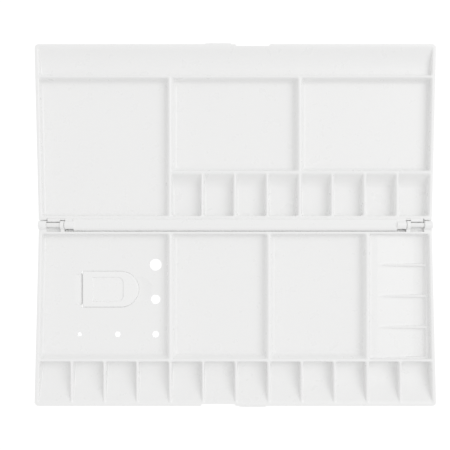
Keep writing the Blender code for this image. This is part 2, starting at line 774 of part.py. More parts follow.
def make_base(group, helpers, material):
    base = make_part("base_tray", tray_block(BASE), group, material)
    bevel(base, EDGE)
    ears = [knuckle(BASE, *sorted((side * EAR_INNER, side * EAR_OUTER))) for side in (-1, 1)]
    lugs = [knuckle(BASE, *sorted((side * LUG_INNER, side * LUG_OUTER))) for side in (-1, 1)]
    boolean(base, "UNION", make_helper("base_eyes", ears + lugs + [front_tab(BASE)], helpers))
    boolean(base, "UNION", make_helper("base_webs", base_webs(), helpers))
    boolean(base, "UNION", make_helper("rear_shelf", [rear_shelf()], helpers))
    boolean(base, "DIFFERENCE", make_helper("base_pockets", base_pockets(), helpers))
    boolean(base, "DIFFERENCE", make_helper("column_pockets", column_pockets(), helpers))
    boolean(base, "DIFFERENCE", make_helper("base_hollows", base_hollows(), helpers))
    boolean(base, "UNION", make_helper("flap_bosses", flap_bosses(), helpers))
    bores = hinge_bores(LUG_INNER - OVERCUT, EAR_OUTER + OVERCUT)
    drilled = bores + flap_sockets() + brush_holes() + [front_notch(BASE)]
    boolean(base, "DIFFERENCE", make_helper("base_bores", drilled, helpers))
    boolean(base, "DIFFERENCE", make_helper("slot_recess", [slot_recess()], helpers))
    boolean(base, "DIFFERENCE", make_helper("finger_dish", [finger_dish()], helpers))
    boolean(base, "DIFFERENCE", make_helper("flap_opening", [flap_opening()], helpers))
    round_off(base)


def make_lid(group, helpers, material):
    lid = make_part("lid_tray", tray_block(LID), group, material)
    bevel(lid, EDGE)
    boolean(lid, "UNION", make_helper("lid_flange", [lid_flange()], helpers))
    ends = (FLANGE_END - 0.2 * MM, KNUCKLE_OUTER)
    eyes = [knuckle(LID, *sorted((side * ends[0], side * ends[1]))) for side in (-1, 1)]
    boolean(lid, "UNION", make_helper("lid_eyes", eyes + [front_tab(LID)], helpers))
    boolean(lid, "UNION", make_helper("lid_sills", lid_sills(), helpers))
    boolean(lid, "UNION", make_helper("lid_ledges", lid_ledges(), helpers))
    boolean(lid, "DIFFERENCE", make_helper("lid_pockets", lid_pockets(), helpers))
    boolean(lid, "DIFFERENCE", make_helper("lid_hollow", [lid_hollow()], helpers))
    bores = hinge_bores(FLANGE_END + 0.4 * MM, KNUCKLE_OUTER + OVERCUT)
    boolean(lid, "DIFFERENCE", make_helper("lid_bores", bores + [front_notch(LID)], helpers))
    put_origin(lid, (0.0, 0.0, AXIS_HEIGHT))
    round_off(lid)


def main():
    clear_scene()
    palette = new_group("mixing_palette")
    helpers = new_group("cutters")
    white = (0.90, 0.90, 0.89)
    make_base(palette, helpers, plastic("base_plastic", white, 0.35))
    make_lid(palette, helpers, plastic("lid_plastic", white, 0.35))
    make_thumb_flap(palette, helpers, plastic("flap_plastic", white, 0.32))
    pin_plastic = plastic("pin_plastic", (0.88, 0.88, 0.87), 0.3)
    make_hinge_pin("hinge_pin_left", -1, palette, pin_plastic)
    make_hinge_pin("hinge_pin_right", 1, palette, pin_plastic)


main()
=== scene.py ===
"""Looks of the folding mixing palette: finely moulded trays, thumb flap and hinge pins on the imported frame.

+X runs along the hinge, +Y points to the lid, and z = 0 is the surface that the palette lies on.
A tray is described by x and by a distance from the hinge line: the base lies at -Y, the lid at +Y.
"""

import json
import math
from collections import namedtuple

import bmesh
import bpy
from mathutils import Matrix, Vector


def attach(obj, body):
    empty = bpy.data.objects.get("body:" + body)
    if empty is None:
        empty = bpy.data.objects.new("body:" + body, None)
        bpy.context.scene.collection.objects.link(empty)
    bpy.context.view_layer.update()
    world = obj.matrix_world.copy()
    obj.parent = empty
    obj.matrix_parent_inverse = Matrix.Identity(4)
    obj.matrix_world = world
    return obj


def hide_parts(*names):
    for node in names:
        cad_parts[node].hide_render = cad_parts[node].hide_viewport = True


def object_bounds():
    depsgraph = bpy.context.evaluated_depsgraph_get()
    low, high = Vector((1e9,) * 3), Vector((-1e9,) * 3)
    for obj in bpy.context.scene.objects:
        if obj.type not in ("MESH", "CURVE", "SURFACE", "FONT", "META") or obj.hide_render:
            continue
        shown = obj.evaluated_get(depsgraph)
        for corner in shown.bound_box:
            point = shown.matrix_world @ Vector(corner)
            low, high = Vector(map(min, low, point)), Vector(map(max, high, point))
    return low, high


MM = 0.001

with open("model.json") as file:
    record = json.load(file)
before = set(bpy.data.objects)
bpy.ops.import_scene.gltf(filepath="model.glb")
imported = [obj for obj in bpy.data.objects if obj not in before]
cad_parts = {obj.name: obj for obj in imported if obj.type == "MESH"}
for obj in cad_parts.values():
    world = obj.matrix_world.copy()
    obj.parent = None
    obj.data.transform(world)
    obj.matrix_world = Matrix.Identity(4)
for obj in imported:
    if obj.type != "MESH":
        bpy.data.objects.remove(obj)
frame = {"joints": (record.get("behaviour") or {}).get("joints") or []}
cad_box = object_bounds()
joints = {joint["name"]: joint for joint in frame["joints"]}

TAB_PROUD = 0.6 * MM
CLOSED_GAP = 0.3 * MM  # between the rims of the closed palette

# From the frame
LENGTH = cad_box[1].x - cad_box[0].x
LEAF_DEPTH = cad_box[1].y - TAB_PROUD
AXIS_HEIGHT = joints["lid_hinge"]["pos_m"][2]
RIM = AXIS_HEIGHT - CLOSED_GAP / 2
FLAP_AXIS_X, FLAP_MIDDLE, FLAP_AXIS_HEIGHT = joints["thumb_flap_hinge"]["pos_m"]

# Tray walls and ribs
NARROWING = 5.2 * MM  # of the trays, from their front edges to the hinge
LENGTH_AT_HINGE = LENGTH - NARROWING
BASE_MIDDLE_RIB = 0.3 * MM  # x of the rib at the middle of a row of wells
BASE_PITCH = 19.65 * MM  # spacing of the ribs
LID_MIDDLE_RIB = -0.4 * MM
LID_PITCH = 19.4 * MM
PLASTIC = 1.6 * MM
WELL_FLOOR = 3.0 * MM
LID_WELL_FLOOR = 4.2 * MM
MIX_FLOOR = 5.2 * MM
CORNER = 2.5 * MM  # radius of the front corners
EDGE = 0.5 * MM  # radius along the outer edges
FINE_EDGE = 0.2 * MM  # the same on small parts
CROWN = 0.9 * MM  # radius along the crowns of the ribs and the inner edges of the rims
CROWN_SWEEP = 75  # degrees of that radius that a wall goes through before it meets the flat top
LEAST_STEP = 0.03 * MM  # in height, between two rings of a wall
REAR_FACE = 3.9 * MM
REAR_WALL = 1.3 * MM
FRONT_WALL = 2.0 * MM
SIDE_RIM_AT_HINGE = 1.8 * MM
SIDE_RIM_AT_FRONT = 2.1 * MM
THIN_RIB = 1.0 * MM  # widths across the crowns
THICK_RIB = 1.3 * MM
FOOT = 1.6 * MM  # radius where a wall meets a floor
MOUTH_CORNER = 0.9 * MM
FLOOR_CORNER = 1.8 * MM
SKIRT = 2.2 * MM  # from a tray's outside or a rib to the hollows underneath
OVERCUT = 1.0 * MM  # how far a cut goes past an open face
BREAKOUT = 0.1 * MM  # the same for a shallow cut
OVERLAP = 0.2 * MM  # where two joined solids reach into each other

# Rows of compartments, by distance from the hinge line
BASE_RIB = 81.0 * MM
LID_RIB = 88.7 * MM
LID_WELL_RIB = 31.5 * MM
TROUGH_FLOOR = 7.0 * MM
COLUMN_WELLS = 4
COLUMN_TOP = 7.4 * MM
COLUMN_FLOOR = 5.2 * MM
COLUMN_LEDGE = 0.15 * MM  # flat strip around the column's wells
COLUMN_SHELF = 4.0 * MM  # flat strip to the left of the column's wells

# How far a wall comes in between its top and its foot
WALL_RUN = 1.3 * MM
RIDGE_RUN = 3.4 * MM
END_RUN = 2.8 * MM
REAR_RUN = 1.8 * MM
FRONT_RUN = 3.8 * MM
WELL_RUN = 1.6 * MM
LID_WELL_RUN = 2.0 * MM
STEEP_RUN = 1.0 * MM
LOW_RUN = 0.6 * MM
SHELF_RUN = 2.3 * MM
FRONT_SCOOP = 22.0 * MM
LID_SCOOP = 8.5 * MM
TROUGH_SCOOP = 13.5 * MM
COLUMN_RAMP = 22.0 * MM

# Hinge
PIN_RADIUS = 1.4 * MM
BORE_RADIUS = 1.65 * MM
KNUCKLE_RADIUS = 2.5 * MM
EAR_INNER = 112.7 * MM
EAR_OUTER = LENGTH_AT_HINGE / 2
LUG_OUTER = 104.4 * MM
LUG_INNER = 102.1 * MM
KNUCKLE_OUTER = 101.85 * MM
FLANGE_END = 96.5 * MM
FLANGE_REACH = 3.6 * MM
FLANGE_RISE = 1.35 * MM
FLANGE_UNDER = 1.6 * MM
NOSE_RADIUS = 2.3 * MM
NOSE_CENTRE = 1.2 * MM
GUSSET_ROOT = 5.0 * MM
GUSSET_FOOT = 3.0 * MM
GUSSET_DROP = 0.1 * MM  # from the rim to the top of a gusset
EYE_EDGE = 0.25 * MM
BORE_START = FLANGE_END + 0.4 * MM
PIN_START = FLANGE_END + 0.7 * MM
PIN_END = EAR_OUTER - 0.4 * MM
PIN_EDGE = 0.3 * MM
WEB_START = 95.5 * MM  # of the base's low web, under the lid's eyes
WEB_TOP = 6.0 * MM
WEB_REACH = 1.0 * MM  # past the axis
STEP_TOP = 9.0 * MM  # of the base's web, under the pins
SHELF_TOP = 8.6 * MM  # of the base's shelf, under the lid's flange
SHELF_REACH = 3.0 * MM  # short of the axis
SILL_START = 101.2 * MM  # of the lid's sill, under the base's eyes
SILL_TOP = 8.2 * MM
SILL_REACH = 1.4 * MM  # short of the axis
LEDGE_TOP = 10.7 * MM  # of the lid's ledge, beside the pins
LEDGE_REACH = 1.9 * MM
SIDE_PLAY = 0.4 * MM  # between the lid and the base's eyes

# Closing tab and notch
TAB_START = 1.6 * MM
TAB_END = 19.0 * MM
TAB_SLANT = 1.0 * MM
TAB_FOOT = 6.0 * MM
NOTCH_CLEARANCE = 1.1 * MM
NOTCH_DEPTH = 1.2 * MM
NOTCH_EDGE = 0.35 * MM

# Thumb flap
FLAP_STRAIGHT = FLAP_AXIS_X + 2.75 * MM
FLAP_ARC_X = FLAP_AXIS_X + 25.9 * MM
FLAP_RADIUS = 10.9 * MM
FLAP_PROUD = 0.7 * MM
FLAP_PLATE = 2.8 * MM  # from its top to the foot of its edge
FLAP_EDGE = 0.9 * MM
FLAP_GAP = 0.06 * MM
SLOT_WIDTH = 0.7 * MM
FLANGE_LAP = 1.2 * MM
FLANGE_START = 4.9 * MM
UNDER_FLOOR = 0.3 * MM
FLAP_SKIN = 1.2 * MM
FLANGE_THICKNESS = 1.1 * MM
WEB_WIDTH = 3.7 * MM
WEB_CHAMFER = 1.0 * MM
WEB_INSET = 0.1 * MM  # of the web's ends from the barrel's
SLOPE_WIDTH = 6.6 * MM
SLOPE_HALF = 9.25 * MM
SLOPE_BEND = 2.6 * MM  # from the slot to where the slope gets gentler
SLOPE_BEND_DEPTH = 0.4 * PLASTIC
SLOPE_DEPTH = 0.9 * PLASTIC
RECESS_DEPTH = 0.8 * MM
RECESS_START = 6.0 * MM
RECESS_HALF = 7.4 * MM
RECESS_CORNER = 3.6 * MM
RECESS_EDGE = 0.4 * MM
BARREL_RADIUS = 1.2 * MM
BARREL_HALF = 9.3 * MM
STUB_RADIUS = 0.8 * MM
STUB_HALF = 11.4 * MM
SOCKET_RADIUS = 1.05 * MM
BOSS_RADIUS = 1.8 * MM
BOSS_INNER = 9.9 * MM
BOSS_OUTER = 11.9 * MM
DISH_DEPTH = 1.0 * MM
DISH_RADIUS = 8.0 * MM
DISH_TIP = 0.05 * MM  # radius of the ring at the dish's lowest place

# Brush holes in the base
HOLE_LIP = 0.3 * MM
HOLE_COLUMN = -48.1 * MM
HOLE_ROW = -66.1 * MM
BRUSH_HOLES = (  # x, y, radius
    (HOLE_COLUMN, -24.0 * MM, 3.5 * MM),
    (HOLE_COLUMN, -45.0 * MM, 2.8 * MM),
    (HOLE_COLUMN, HOLE_ROW, 2.0 * MM),
    (HOLE_COLUMN - 23.0 * MM, HOLE_ROW, 1.7 * MM),
    (HOLE_COLUMN - 46.0 * MM, HOLE_ROW, 1.25 * MM),
)

# Camera
CAMERA_X = -6.2 * MM
CAMERA_DISTANCE = 450 * MM  # above the rims
VIEW_WIDTH = 268.7 * MM  # at the rims

# Light and floor: lengths in metres, power in watts
SKY_STRENGTH = 0.755
KEY_PLACE = (2.0, 0.8, 2.9)
KEY_SIZE = (2.4, 2.4)
KEY_POWER = 25.5
FLOOR_HALF = 3.0
FLOOR_DROP = 0.1 * MM  # below the palette's underside
FLOOR_GLOW = 0.97

# Plastics
WHITE = (0.96, 0.96, 0.957)
FLAP_WHITE = (0.975, 0.975, 0.972)
PIN_WHITE = (0.93, 0.93, 0.925)
PLASTIC_IOR = 1.52
FLOW_SCALE = 28.0
BLOTCH_SCALE = 140.0
PEEL_SCALE = 2200.0
HAIR_STRETCH = (2500, 22, 2500)
HAIR_ANGLES = (24, -61)  # degrees, of the two directions of hairlines
NOISE_LOW, NOISE_HIGH = 0.3, 0.7  # the part of a noise's range that is used
ROUGHNESS = 0.3
FLAP_ROUGHNESS = 0.28
SHARP_ANGLE = 38  # degrees, from which an edge is shaded as sharp

# Ribs that go on as the dividers between mixing areas, counted from the middle
BASE_DIVIDERS = (-2, 1, 4)
LID_DIVIDERS = (-2, 2)

BASE, LID = -1, 1  # the side of the hinge line that a tray lies on
WALL = "wall"  # in place of an x, where a pocket ends at the side rim
# A solid built up along Z is turned by these to run along X, Y or Z
UPRIGHT = {
    "X": Matrix(((0, 0, 1, 0), (1, 0, 0, 0), (0, 1, 0, 0), (0, 0, 0, 1))),
    "Y": Matrix(((1, 0, 0, 0), (0, 0, 1, 0), (0, 1, 0, 0), (0, 0, 0, 1))),
    "Z": Matrix.Identity(4),
}
Runs = namedtuple("Runs", "left right near far")


# Meshes


def skin(rings):
    """A closed skin over rings of points, each ring capped at the two ends."""
    shape = bmesh.new()
    loops = [[shape.verts.new(point) for point in ring] for ring in rings]
    for lower, upper in zip(loops, loops[1:]):
        for index in range(len(lower)):
            shape.faces.new((lower[index - 1], lower[index], upper[index], upper[index - 1]))
    shape.faces.new(loops[0])
    shape.faces.new(loops[-1])
    bmesh.ops.recalc_face_normals(shape, faces=shape.faces)
    mesh = bpy.data.meshes.new("skin")
    shape.to_mesh(mesh)
    shape.free()
    return mesh


def turn_out(mesh):
    """Turns the faces of a closed mesh outwards."""
    shape = bmesh.new()
    shape.from_mesh(mesh)
    bmesh.ops.recalc_face_normals(shape, faces=shape.faces)
    shape.to_mesh(mesh)
    shape.free()
    return mesh


def prism(outline, low, high, along="Z"):
    """A flat outline with its thickness along Z, or along X (outline in y, z) or Y (outline in x, z)."""
    mesh = skin([[(across, up, place) for across, up in outline] for place in (low, high)])
    mesh.transform(UPRIGHT[along])
    return turn_out(mesh)


def turned(profile, sides, along="Z", centre=(0.0, 0.0)):
    """A turned solid from (radius, place along the axis) points."""
    rings = []
    for radius, place in profile:
        angles = [2 * math.pi * step / sides for step in range(sides)]
        circle = [(centre[0] + radius * math.cos(a), centre[1] + radius * math.sin(a)) for a in angles]
        rings.append([(across, up, place) for across, up in circle])
    mesh = skin(rings)
    mesh.transform(UPRIGHT[along])
    return turn_out(mesh)


def rod(radius, low, high, along, centre, edge=0.0):
    """A round rod, with bevelled ends where an edge is given."""
    profile = [(radius - edge, low), (radius, low + edge), (radius, high - edge), (radius - edge, high)]
    if not edge:
        profile = [(radius, low), (radius, high)]
    return turned(profile, 40, along, centre)


def arc(centre, radius, start, end, steps):
    """Points along an arc, with its angles in degrees."""
    points = []
    for step in range(steps + 1):
        angle = math.radians(start + (end - start) * step / steps)
        points.append((centre[0] + radius * math.cos(angle), centre[1] + radius * math.sin(angle)))
    return points


def merged(meshes):
    """Several meshes as one, which are then removed."""
    shape = bmesh.new()
    for mesh in meshes:
        shape.from_mesh(mesh)
        bpy.data.meshes.remove(mesh)
    whole = bpy.data.meshes.new("merged")
    shape.to_mesh(whole)
    shape.free()
    return whole


def with_modifiers(mesh, add_modifiers):
    """The mesh after the modifiers that add_modifiers puts on its object."""
    work = bpy.data.objects.new("work", mesh)
    bpy.context.scene.collection.objects.link(work)
    helpers = add_modifiers(work)
    bpy.context.view_layer.update()
    evaluated = work.evaluated_get(bpy.context.evaluated_depsgraph_get())
    result = bpy.data.meshes.new_from_object(evaluated)
    for thing in [work, *helpers]:
        bpy.data.objects.remove(thing)
    return result


def softened(mesh, width, segments=3, angle=50):
    """The mesh with its sharp edges rounded."""

    def add_modifiers(work):
        modifier = work.modifiers.new("bevel", "BEVEL")
        modifier.width = width
        modifier.segments = segments
        modifier.limit_method = "ANGLE"
        modifier.angle_limit = math.radians(angle)
        return []

    return with_modifiers(mesh, add_modifiers)


def carved(mesh, steps):
    """The mesh after a list of (operation, solids) Boolean steps."""

    def add_modifiers(work):
        helpers = []
        for operation, solids in steps:
            helper = bpy.data.objects.new("helper", merged(solids))
            bpy.context.scene.collection.objects.link(helper)
            modifier = work.modifiers.new("carve", "BOOLEAN")
            modifier.operation = operation
            modifier.object = helper
            modifier.solver = "EXACT"
            helpers.append(helper)
        return helpers

    return with_modifiers(mesh, add_modifiers)


# Compartments


def half_length(distance):
    """Half the tray's length at a distance from the hinge line: the side walls open outwards a little."""
    return (LENGTH_AT_HINGE + (LENGTH - LENGTH_AT_HINGE) * distance / LEAF_DEPTH) / 2


def side_x(line, side, distance):
    """Where a pocket's left (side -1) or right (side 1) edge is: on its own line, or along the side rim."""
    if line != WALL:
        return line
    rim = SIDE_RIM_AT_HINGE + (SIDE_RIM_AT_FRONT - SIDE_RIM_AT_HINGE) * distance / LEAF_DEPTH
    return side * (half_length(distance) - rim)


def rib_x(leaf, number):
    """Where a rib stands, counted in ribs from the one at the middle."""
    if leaf == BASE:
        return BASE_MIDDLE_RIB + number * BASE_PITCH
    return LID_MIDDLE_RIB + number * LID_PITCH


def wall_inset(run, rise, depth):
    """How far a sloping wall with a rounded foot has come in, at a rise above its floor."""
    foot = min(FOOT, run)
    below = max(foot - rise, 0.0)
    return (run - foot) * (1 - rise / depth) + foot - math.sqrt(foot**2 - below**2)


def scoop_inset(run, rise, depth):
    """The same for a floor that curves up to the far edge like a spoon: a parabola."""
    return run * (1 - math.sqrt(rise / depth))


def scoop_rise(run, inset, depth):
    """The height of that floor above its lowest place, at a distance in from the far edge."""
    return depth * (1 - inset / run) ** 2


def pocket_loop(left, right, near, far, inset, radius):
    """The outline of a pocket at one height: a rectangle with rounded corners, as (x, distance)."""
    steps = 6
    points = []
    for quarter in range(4):
        on_right = quarter in (0, 3)
        on_far = quarter in (0, 1)
        for step in range(steps + 1):
            angle = (quarter + step / steps) * math.pi / 2
            in_x = radius * (1 - abs(math.cos(angle)))
            in_distance = radius * (1 - abs(math.sin(angle)))
            distance = far - inset.far - in_distance if on_far else near + inset.near + in_distance
            if on_right:
                x = side_x(right, 1, distance) - inset.right - in_x
            else:
                x = side_x(left, -1, distance) + inset.left + in_x
            points.append((x, distance))
    return points


def pocket_levels(depth, scooped):
    """(rise, flare) of each ring of a pocket: the foot, the wall or scoop, and the rounded crown."""
    rises = [FOOT * (1 - math.cos(math.radians(angle))) for angle in range(0, 91, 18)]
    if scooped:
        rises += [depth * (step / 16) ** 2 for step in range(1, 16)]
    rises = sorted(rise for rise in rises if rise < depth - CROWN)
    rises = rises[:1] + [rise for before, rise in zip(rises, rises[1:]) if rise - before > LEAST_STEP]
    levels = [(rise, 0.0) for rise in rises]
    for angle in range(0, CROWN_SWEEP + 1, 15):
        lean = math.radians(angle)
        levels.append((depth - CROWN * (1 - math.sin(lean)), CROWN * (1 - math.cos(lean))))
    rise, flare = levels[-1]
    over = 0.02 * MM
    flare += over * math.tan(math.radians(CROWN_SWEEP))
    return levels + [(rise + over, flare), (depth + OVERCUT, flare)]


def pocket(leaf, left, right, near, far, floor, runs, scooped=False, top=RIM):
    """The space of one compartment, from its floor to above its mouth, to be cut from a tray."""
    depth = top - floor
    far_inset = scoop_inset if scooped else wall_inset
    half_flare = CROWN * (1 - math.cos(math.radians(45)))
    rings = []
    for rise, flare in pocket_levels(depth, scooped):
        share = min(rise / depth, 1.0)
        level = share * depth
        widen = flare - half_flare
        inset = Runs(
            wall_inset(runs.left, level, depth) - widen,
            wall_inset(runs.right, level, depth) - widen,
            wall_inset(runs.near, level, depth) - widen,
            far_inset(runs.far, level, depth) - widen,
        )
        room = far - near - inset.near - inset.far
        radius = min(FLOOR_CORNER + (MOUTH_CORNER - FLOOR_CORNER) * share + flare, 0.45 * room)
        loop = pocket_loop(left, right, near, far, inset, radius)
        rings.append([(x, leaf * distance, floor + rise) for x, distance in loop])
    return skin(rings)


# Tray parts


def tray_block(leaf):
    """The outer shape of a tray. The lid's side walls reach nearer to the hinge than its rear wall does."""
    side_end = REAR_FACE if leaf == BASE else KNUCKLE_RADIUS + SIDE_PLAY
    half_front = half_length(LEAF_DEPTH)
    rear = [(half_length(side_end), side_end), (EAR_INNER, side_end), (EAR_INNER, REAR_FACE)]
    if leaf == BASE:
        rear = rear[:1]
    front = arc((half_front - CORNER, LEAF_DEPTH - CORNER), CORNER, 0, 90, 8)
    right = list(reversed(rear)) + front
    outline = right + [(-x, distance) for x, distance in reversed(right)]
    return softened(prism([(x, leaf * distance) for x, distance in outline], 0.0, RIM), EDGE)


def tab_outline(leaf, start, end, slant, low, high):
    """A strip across a front edge with slanting ends, narrower at its high side."""
    outline = [(start, low), (end, low), (end - slant, high), (start + slant, high)]
    return [(-leaf * x, leaf * distance) for x, distance in outline]


def front_tab(leaf):
    low, high = LEAF_DEPTH - FRONT_WALL / 2, LEAF_DEPTH + TAB_PROUD
    outline = tab_outline(leaf, TAB_START, TAB_END, TAB_SLANT, low, high)
    return softened(prism(outline, TAB_FOOT, RIM - TAB_PROUD), FINE_EDGE, 2)


def front_notch(leaf):
    low, high = LEAF_DEPTH - NOTCH_DEPTH, LEAF_DEPTH + OVERCUT
    start, end = -TAB_END - NOTCH_CLEARANCE, -TAB_START + NOTCH_CLEARANCE
    outline = tab_outline(leaf, start, end, -TAB_SLANT, low, high)
    return softened(prism(outline, TAB_FOOT - NOTCH_CLEARANCE, RIM + OVERCUT), NOTCH_EDGE)


def well_lines(leaf, first, thick):
    """The left and right edges of a row of wells, from its first rib to the right wall."""
    lines = []
    for number in range(first, 6):
        half = (THICK_RIB if number in thick else THIN_RIB) / 2
        lines.append((rib_x(leaf, number) - half, rib_x(leaf, number) + half))
    lefts = [right for _, right in lines]
    rights = [left for left, _ in lines[1:]] + [WALL]
    return list(zip(lefts, rights))


def base_pockets():
    near = REAR_FACE + REAR_WALL
    far = BASE_RIB - THIN_RIB / 2
    edges = [WALL]
    for number in BASE_DIVIDERS:
        edges += [rib_x(BASE, number) - THICK_RIB / 2, rib_x(BASE, number) + THICK_RIB / 2]
    pockets = []
    for left, right in zip(edges[0::2], edges[1::2]):
        left_run = WALL_RUN if left == WALL else RIDGE_RUN
        runs = Runs(left_run, RIDGE_RUN, REAR_RUN, FRONT_RUN)
        pockets.append(pocket(BASE, left, right, near, far, MIX_FLOOR, runs))
    runs = Runs(SHELF_RUN, LOW_RUN, LOW_RUN, LOW_RUN)
    pockets.append(pocket(BASE, edges[-1], WALL, near, far, COLUMN_TOP, runs))
    near = BASE_RIB + THIN_RIB / 2
    far = LEAF_DEPTH - FRONT_WALL
    runs = Runs(WELL_RUN, WELL_RUN, STEEP_RUN, FRONT_SCOOP)
    first_well = (WALL, rib_x(BASE, -5) - THIN_RIB / 2)
    for left, right in [first_well, *well_lines(BASE, -5, BASE_DIVIDERS)]:
        pockets.append(pocket(BASE, left, right, near, far, WELL_FLOOR, runs, scooped=True))
    return pockets


def column_pockets():
    """Wells in the base's right-hand column. Their floors rise to the left until the ribs run out."""
    first = REAR_FACE + REAR_WALL + LOW_RUN + COLUMN_LEDGE
    last = BASE_RIB - THIN_RIB / 2 - LOW_RUN - COLUMN_LEDGE
    step = (last - first + THIN_RIB) / COLUMN_WELLS
    left = column_start()
    right = side_x(WALL, 1, first) - LOW_RUN - COLUMN_LEDGE
    runs = Runs(COLUMN_RAMP, WELL_RUN, LOW_RUN, LOW_RUN)
    pockets = []
    for number in range(COLUMN_WELLS):
        near = first + number * step
        far = near + step - THIN_RIB
        pockets.append(pocket(BASE, left, right, near, far, COLUMN_FLOOR, runs, top=COLUMN_TOP))
    return pockets


def column_start():
    return rib_x(BASE, BASE_DIVIDERS[-1]) + THICK_RIB / 2 + SHELF_RUN + COLUMN_SHELF


def lid_pockets():
    near = REAR_FACE + REAR_WALL
    far = LID_RIB - THIN_RIB / 2
    past_wells = LID_WELL_RIB + THIN_RIB / 2
    left_rib, right_rib = [rib_x(LID, number) for number in LID_DIVIDERS]
    half = THICK_RIB / 2
    mixing = (
        (WALL, left_rib - half, near, Runs(WALL_RUN, RIDGE_RUN, REAR_RUN, END_RUN)),
        (left_rib + half, right_rib - half, past_wells, Runs(RIDGE_RUN, RIDGE_RUN, END_RUN, END_RUN)),
        (right_rib + half, WALL, past_wells, Runs(RIDGE_RUN, WALL_RUN, END_RUN, END_RUN)),
    )
    pockets = [pocket(LID, left, right, start, far, MIX_FLOOR, runs) for left, right, start, runs in mixing]
    runs = Runs(WALL_RUN, WALL_RUN, REAR_RUN, TROUGH_SCOOP)
    near_trough = LID_RIB + THIN_RIB / 2
    front = LEAF_DEPTH - FRONT_WALL
    pockets.append(pocket(LID, WALL, WALL, near_trough, front, TROUGH_FLOOR, runs, scooped=True))
    runs = Runs(LID_WELL_RUN, LID_WELL_RUN, STEEP_RUN, LID_SCOOP)
    far = LID_WELL_RIB - THIN_RIB / 2
    for left, right in well_lines(LID, LID_DIVIDERS[0], LID_DIVIDERS):
        pockets.append(pocket(LID, left, right, near, far, LID_WELL_FLOOR, runs, scooped=True))
    return pockets


def hollow_corner(distance):
    return half_length(distance) - SKIRT


def base_hollows():
    """The hollows under the raised floors, so that the moulding keeps an even thickness."""
    near = REAR_FACE + SKIRT
    far = BASE_RIB - SKIRT
    right = rib_x(BASE, BASE_DIVIDERS[-1]) - RIDGE_RUN
    outline = [(-hollow_corner(near), near), (right, near), (right, far), (-hollow_corner(far), far)]
    under_mixing = prism([(x, -distance) for x, distance in outline], -OVERCUT, MIX_FLOOR - PLASTIC)
    ramp_left = column_start() - PLASTIC
    hollow_share = 0.6
    ramp_right = column_start() + hollow_share * COLUMN_RAMP
    ramp_rise = hollow_share * (COLUMN_TOP - COLUMN_FLOOR)
    outline = [
        (ramp_left, -OVERCUT),
        (ramp_right, -OVERCUT),
        (ramp_right, COLUMN_TOP - ramp_rise - 2 * PLASTIC),
        (ramp_left, COLUMN_TOP - 2 * PLASTIC),
    ]
    under_column = prism(outline, -far, -near, along="Y")
    return [softened(solid, EDGE) for solid in (under_mixing, under_column, front_hollow())]


def front_hollow():
    """The hollow under the front wells' rising floors."""
    front = LEAF_DEPTH - FRONT_WALL
    depth = RIM - WELL_FLOOR
    inset = 0.45 * FRONT_SCOOP
    outline = [(inset - front, -OVERCUT)]
    for _ in range(3):
        height = WELL_FLOOR + scoop_rise(FRONT_SCOOP, inset, depth) - 1.3 * PLASTIC
        outline.append((inset - front, height))
        inset -= 0.15 * FRONT_SCOOP
    outline.append((-front, 0.6 * RIM))
    outline.append((-front, -OVERCUT))
    half = hollow_corner(front)
    return prism(outline, -half, half, along="X")


def lid_hollow():
    """The hollow under the lid's raised floors."""
    near = REAR_FACE + SKIRT
    middle = LID_WELL_RIB + SKIRT
    far = LEAF_DEPTH - FRONT_WALL
    left_rib = rib_x(LID, LID_DIVIDERS[0]) - SKIRT
    outline = [
        (-hollow_corner(near), near),
        (left_rib, near),
        (left_rib, middle),
        (hollow_corner(middle), middle),
        (hollow_corner(far), far),
        (-hollow_corner(far), far),
    ]
    return softened(prism(outline, -OVERCUT, MIX_FLOOR - PLASTIC), EDGE)


# The hinge


def knuckle(leaf, low, high):
    """A round eye on the hinge axis, with a gusset back to its tray's rear wall."""
    low, high = sorted((low, high))
    eye = arc((0.0, AXIS_HEIGHT), KNUCKLE_RADIUS, -50, 180, 30)
    outline = eye + [(-GUSSET_ROOT, RIM - GUSSET_DROP), (-GUSSET_ROOT, GUSSET_FOOT)]
    return softened(prism([(-leaf * y, z) for y, z in outline], low, high, along="X"), EYE_EDGE)


def lid_flange():
    """The flange along the lid's rear edge that covers the hinge line, with a flat top and a round nose."""
    wall = REAR_FACE + REAR_WALL / 2
    outline = [(wall, -FLANGE_UNDER), (wall, -CLOSED_GAP), (FLANGE_REACH, -CLOSED_GAP)]
    outline += [(FLANGE_REACH, FLANGE_RISE / 3)]
    outline += arc((FLANGE_REACH - 2 * EDGE, FLANGE_RISE - 2 * EDGE), 2 * EDGE, 10, 90, 5)
    outline += arc((-NOSE_CENTRE, FLANGE_RISE - NOSE_RADIUS), NOSE_RADIUS, 90, 180, 12)
    outline.append((-math.sqrt(FLANGE_REACH**2 - FLANGE_UNDER**2), -FLANGE_UNDER))
    flange = prism([(y, AXIS_HEIGHT + z) for y, z in outline], -FLANGE_END, FLANGE_END, along="X")
    return softened(flange, FINE_EDGE, 2)


def hinge_fillers(steps, foot, near, far):
    """A block at each end of the hinge, with a stepped top, that closes the gap below the pins."""
    outline = [(steps[0][0], foot)] + steps + [(steps[-1][0], foot)]
    return [prism([(side * x, z) for x, z in outline], near, far, along="Y") for side in (-1, 1)]


def base_webs():
    """The base's low webs under the lid's eyes, higher under the pins."""
    step, end = LUG_OUTER - OVERLAP, EAR_INNER + OVERLAP
    steps = [(WEB_START, WEB_TOP), (step, WEB_TOP), (step, STEP_TOP), (end, STEP_TOP)]
    return hinge_fillers(steps, GUSSET_FOOT, -REAR_FACE - REAR_WALL / 2, WEB_REACH)


